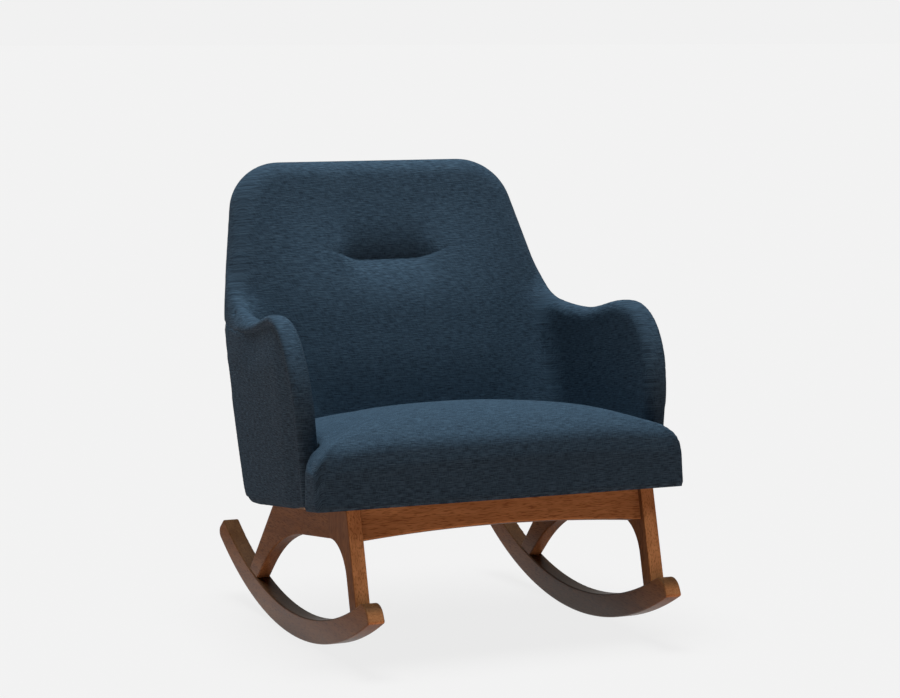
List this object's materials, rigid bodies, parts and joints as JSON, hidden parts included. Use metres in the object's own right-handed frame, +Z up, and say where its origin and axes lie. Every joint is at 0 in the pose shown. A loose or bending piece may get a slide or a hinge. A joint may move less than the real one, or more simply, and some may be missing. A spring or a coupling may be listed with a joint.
{
  "type": "rocking chair",
  "caption": "Upholstered rocking chair with a reclined, pinch-stitched back, waved arms and a crowned seat on a dark wood base with arched side frames and curved runners.",
  "frame": {"origin": "on the floor, midway between the two runners and between their front and rear ends", "axes": "+Z up, -Y towards the front of the chair, +X towards the right as seen from the front"},
  "size_m": [0.7654, 0.8296, 0.8771],
  "materials": {
    "walnut": "satin walnut stain",
    "upholstery": "navy heathered weave",
    "frame_wood": "plain sawn",
    "webbing": "woven strap",
    "lining": "thin black cloth",
    "steel": "zinc plated"
  },
  "bodies": {
    "root": {"runner_left": "walnut", "runner_right": "walnut", "front_leg_left": "walnut", "front_leg_right": "walnut", "side_rail_left": "walnut", "side_rail_right": "walnut", "rear_leg_left": "walnut", "rear_leg_right": "walnut", "front_rail": "walnut", "rear_rail": "walnut", "seat_pad": "upholstery", "back_pad": "upholstery", "arm_pad_left": "upholstery", "arm_pad_right": "upholstery", "outer_arm_left": "upholstery", "outer_arm_right": "upholstery", "outer_back": "upholstery", "base_corner_blocks": "frame_wood", "runner_dowels": "frame_wood", "side_dowels": "frame_wood", "cross_dowels": "frame_wood", "seat_front_rail": "frame_wood", "seat_rear_rail": "frame_wood", "seat_side_rail_left": "frame_wood", "seat_side_rail_right": "frame_wood", "seat_corner_blocks": "frame_wood", "arm_board_left": "frame_wood", "arm_board_right": "frame_wood", "back_post_left": "frame_wood", "back_post_right": "frame_wood", "back_top_rail": "frame_wood", "back_tuft_rail": "frame_wood", "seat_webbing": "webbing", "back_webbing": "webbing", "tuft_ties": "webbing", "dust_cover": "lining", "seat_bolts": "steel", "bolt_washers": "steel", "tee_nuts": "steel"}
  },
  "joints": []
}
